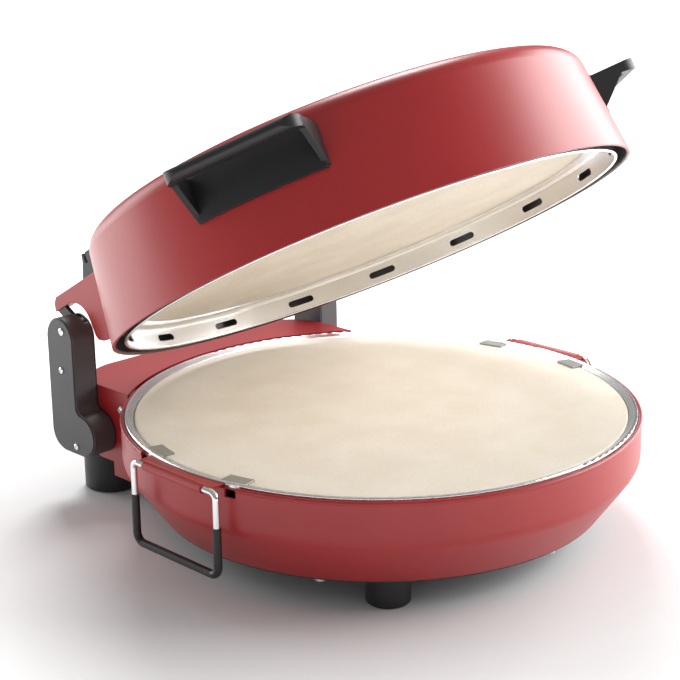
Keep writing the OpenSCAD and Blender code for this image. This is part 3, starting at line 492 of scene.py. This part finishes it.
# %% [markdown]
# ## Turned pieces
# Screw heads, the knob, the lamp's lens and the cord's gland are all round about a line. A lathe form
# is a profile carried round that line. Because radius and height are whole arrays, a flute, a facet
# or a cross-shaped recess is only a change to those arrays.

# %% Lathe helper


def seal(piece):
    """Merges the doubled points at poles and seams, and turns every face outwards."""
    shape = bmesh.new()
    shape.from_mesh(piece.data)
    bmesh.ops.remove_doubles(shape, verts=shape.verts, dist=1e-6)
    bmesh.ops.recalc_face_normals(shape, faces=shape.faces)
    shape.to_mesh(piece.data)
    shape.free()
    piece.data.shade_smooth()
    piece.data.set_sharp_from_angle(angle=math.radians(38))
    return piece


def turned(name, centres, outward, radius, height, ring=False):
    """Turned pieces, one at each centre. Row s and turn t give the point
    centre + height[s, t] * outward + radius[s, t] * (cos t * side + sin t * up),
    where side is +Z and up is at right angles to side and outward."""
    centres = np.reshape(centres, (-1, 1, 1, 3))
    outward = np.reshape(outward, (-1, 1, 1, 3)).astype(float)
    side = np.array([0.0, 0.0, 1.0])
    up = np.cross(outward, side)
    turn = np.linspace(0, 2 * np.pi, radius.shape[-1], endpoint=False)[:, None]
    spoke = np.cos(turn) * side + np.sin(turn) * up
    grid = centres + height[..., None] * outward + radius[..., None] * spoke
    return seal(mesh_from_grid(name, grid, wrap_u=ring, wrap_v=True))


def rings(profile, turns):
    """Radius and height arrays of a profile, one row for each of its points."""
    profile = np.array(profile)
    return [np.repeat(profile[:, k:k + 1], turns, axis=1) for k in (0, 1)]


def dress(piece, body, slot, *replaced):
    """Puts a piece on its body, gives it its slot's finish, and hides the nodes it stands for."""
    piece.data.materials.append(finishes[slot].material)
    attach(piece, body)
    if replaced:
        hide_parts(*replaced)
    print(piece.name, "faces", len(piece.data.polygons))


# %% [markdown]
# ## Screw heads
# The arms and the housing are held by bright pan-head screws with a cross recess. In the CAD model
# each is a plain stepped cylinder. Its points say where it stands and how wide its head is. The new
# head is a shallow dome, and the recess lowers it wherever the distance from the nearer of the two
# cross lines is small.

# %% Screws
RIM_SHARE = 0.45                                         # of the head's thickness
CROSS_HALF, CROSS_REACH, CROSS_DEPTH = 0.17, 0.62, 0.6   # of its radius, radius and thickness


def screws_of(node):
    """Splits a node of screws that point along X. Each row holds side, y, z, inner end, underside
    of the head, outer end, shank radius and head radius."""
    mesh = solids[node].data
    points = np.empty(3 * len(mesh.vertices))
    mesh.vertices.foreach_get("co", points)
    points = points.reshape(-1, 3)
    found = []
    while len(points):
        offset = points - points[0]
        mine = (np.hypot(offset[:, 1], offset[:, 2]) < 0.009) & (points[:, 0] * points[0, 0] > 0)
        one, points = points[mine], points[~mine]
        middle = (one.min(0) + one.max(0)) / 2
        out = np.abs(one[:, 0])
        away = np.hypot(one[:, 1] - middle[1], one[:, 2] - middle[2])
        shank = away[out < out.min() + 1e-4].max()
        under = out[away > (away.max() + shank) / 2].min()
        found.append((np.sign(middle[0]), middle[1], middle[2], out.min(), under, out.max(),
                      shank, away.max()))
    return np.array(found).T


def pan_heads(name, node, body, slot, turns=96):
    """Pan-head screws in place of a node. The dome's height is rim + rise * (1 - r * r) for r from
    1 at its edge to 0, less the recess where r * min(|cos t|, |sin t|) is under its half width."""
    side, y, z, inner, under, outer, shank, head = screws_of(node)
    thick = outer - under
    rim = under + RIM_SHARE * thick
    r = np.linspace(1, 0, 25)
    radius = np.hstack([np.stack([0 * head, shank, shank, head], 1), head[:, None] * r])
    height = np.hstack([np.stack([inner, inner, under, under], 1),
                        rim[:, None] + (outer - rim)[:, None] * (1 - r * r)])
    radius, height = (np.repeat(part[:, :, None], turns, 2) for part in (radius, height))
    turn = np.linspace(0, 2 * np.pi, turns, endpoint=False)
    near_line = r[:, None] * np.minimum(np.abs(np.cos(turn)), np.abs(np.sin(turn)))
    recess = (np.clip((CROSS_HALF - near_line) / 0.05, 0, 1)
              * np.clip((CROSS_REACH - r[:, None]) / 0.07, 0, 1))
    height[:, 4:] -= CROSS_DEPTH * thick[:, None, None] * recess
    centres = np.stack([0 * side, y, z], 1)
    outward = np.stack([side, 0 * side, 0 * side], 1)
    dress(turned(name, centres, outward, radius, height), body, slot, node)


for node in ("arm_screws", "pivot_pins", "housing_screws"):
    pan_heads("domed_" + node, node, "base", slot_of[node])

# %% [markdown]
# ## Knob
# The thermostat's knob on the rear face has a flat skirt and a fluted grip. The flutes are shallow
# grooves that fade out at the skirt and at the rounded top: the grip's radius times one minus a
# narrow cosine peak, weighted from row to row. A white bar on its top shows how far it is turned.

# %% Knob
low, high = (np.array(corner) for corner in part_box("thermostat_knob"))
rear_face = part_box("housing_cover")[1][1]
knob_centre = np.array([(low[0] + high[0]) / 2, 0, (low[2] + high[2]) / 2])
knob_r, foot, top = (high[0] - low[0]) / 2, max(low[1], rear_face + 0.0003), high[1] - 0.0003
grip_r, grip_foot, grip_top, soft_r = 0.82 * knob_r, foot + 0.003, top - 0.0015, 0.0015
TAPER, FLUTES, FLUTE_DEPTH, TURNS = 0.05, 20, 0.06, 240
skirt = [(0, foot), (knob_r - 0.0004, foot), (knob_r, foot + 0.0004), (knob_r, foot + 0.0015),
         (knob_r - 0.0006, foot + 0.0021)]
grip = [(grip_r * (1 - TAPER * g), grip_foot + g * (grip_top - grip_foot))
        for g in np.linspace(0, 1, 9)]
shoulder = [(grip_r * (1 - TAPER) - soft_r * (1 - math.cos(a)), grip_top + soft_r * math.sin(a))
            for a in np.linspace(0.2, np.pi / 2, 6)]
crown = [(grip_r * 0.5, top - 0.0002), (0, top - 0.0002)]
radius, height = rings(skirt + grip + shoulder + crown, TURNS)
turn = np.linspace(0, 2 * np.pi, TURNS, endpoint=False)
first, last = len(skirt), len(skirt + grip) - 1
fade = np.interp(np.arange(len(radius)), [first, first + 1, last, last + 4], [0, 1, 1, 0])
radius *= 1 - FLUTE_DEPTH * fade[:, None] * (0.5 + 0.5 * np.cos(FLUTES * turn)) ** 3
knob = turned("fluted_knob", knob_centre, (0, 1, 0), radius, height)
dress(knob, "knob", slot_of["thermostat_knob"], "thermostat_knob")

# %% [markdown]
# The pointer is a bar with rounded ends that stands a hair above the grip's top: a flattened dome,
# long along its spoke. It carries no figure, and the face round the knob is left without a scale,
# because the housing's cover has no room for one beside the skirt.

# %% Pointer


def bar(name, middle, inner, outer, width, base, rise):
    """A bar on the spoke along +Z of a line along Y: points at radius inner to outer and at most
    width / 2 aside, with height base + rise * sqrt(1 - s * s) for s from 1 at the edge to 0."""
    s = np.linspace(1, 0, 7)
    turn = np.linspace(0, 2 * np.pi, 32, endpoint=False)
    along = (outer + inner) / 2 + (outer - inner) / 2 * s[:, None] * np.cos(turn)
    aside = width / 2 * s[:, None] * np.sin(turn)
    up = base + rise * np.sqrt(1 - s * s)[:, None] + 0 * along
    along, aside, up = (np.vstack([part[-1:], part]) for part in (along, aside, up))
    up[0] = base
    grid = np.stack([middle[0] + aside, up, middle[2] + along], -1)
    return seal(mesh_from_grid(name, grid, wrap_v=True))


pointer = bar("knob_pointer", knob_centre, 0.3 * grip_r, 0.88 * grip_r, 0.0016, top - 0.0004, 0.0005)
dress(pointer, "knob", "ceramic")

# %% [markdown]
# ## Lamp
# The pilot lamp has a domed lens with facets that spread its light. The dome is a quarter arc carried
# round a line along Y, and each facet is a slight dip of the radius between two ridges.

# %% Lamp


def on_rear_face(node):
    """Middle line, radius, foot and top of a round node that stands out of the rear face."""
    low, high = (np.array(corner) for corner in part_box(node))
    middle = np.array([(low[0] + high[0]) / 2, 0, (low[2] + high[2]) / 2])
    return middle, (high[0] - low[0]) / 2, max(low[1], rear_face - 0.001), high[1]


middle, lens_r, foot, top = on_rear_face("pilot_lamp")
dome = [(lens_r * math.cos(a), foot + (top - foot) * math.sin(a) ** 1.3)
        for a in np.linspace(0, np.pi / 2, 12)]
radius, height = rings([(0, foot)] + dome, 96)
turn = np.linspace(0, 2 * np.pi, 96, endpoint=False)
radius *= 1 - 0.04 * np.abs(np.cos(6 * turn))
lens_piece = turned("lamp_lens", middle, (0, 1, 0), radius, height)
dress(lens_piece, "base", slot_of["pilot_lamp"], "pilot_lamp")

# %% [markdown]
# ## Gland
# The gland where the cord would enter is a ribbed tube of black rubber with a flange on the face. Its
# ribs are five waves of a cosine on a wall that narrows outwards. The profile runs up the outside and
# back down the bore, so it is a closed loop, and its rows are wrapped as well.

# %% Gland
middle, gland_r, foot, top = on_rear_face("cord_gland")
bore_r, flange, RIBS = 0.4 * gland_r, rear_face + 0.0018, 5
flange_part = [(bore_r, foot), (gland_r, foot), (gland_r, flange), (0.8 * gland_r, flange + 0.0003)]
ribbed = [(gland_r * (0.78 - 0.14 * g + 0.035 * math.cos(2 * RIBS * math.pi * g)),
           flange + 0.0005 + g * (top - flange - 0.0012)) for g in np.linspace(0, 1, 41)]
mouth = [(0.6 * gland_r, top), (bore_r + 0.0005, top), (bore_r, top - 0.0005)]
radius, height = rings(flange_part + ribbed + mouth, 96)
gland = turned("ribbed_gland", middle, (0, 1, 0), radius, height, ring=True)
dress(gland, "base", slot_of["cord_gland"], "cord_gland")

# %% [markdown]
# ## Sizes
# The dressed machine may not be larger than the CAD model. Both boxes are written down, so that they
# The size of the dressed machine is printed.

# %% Dressed size
low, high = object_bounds()
print("dressed size", [round(b - a, 4) for a, b in zip(low, high)])
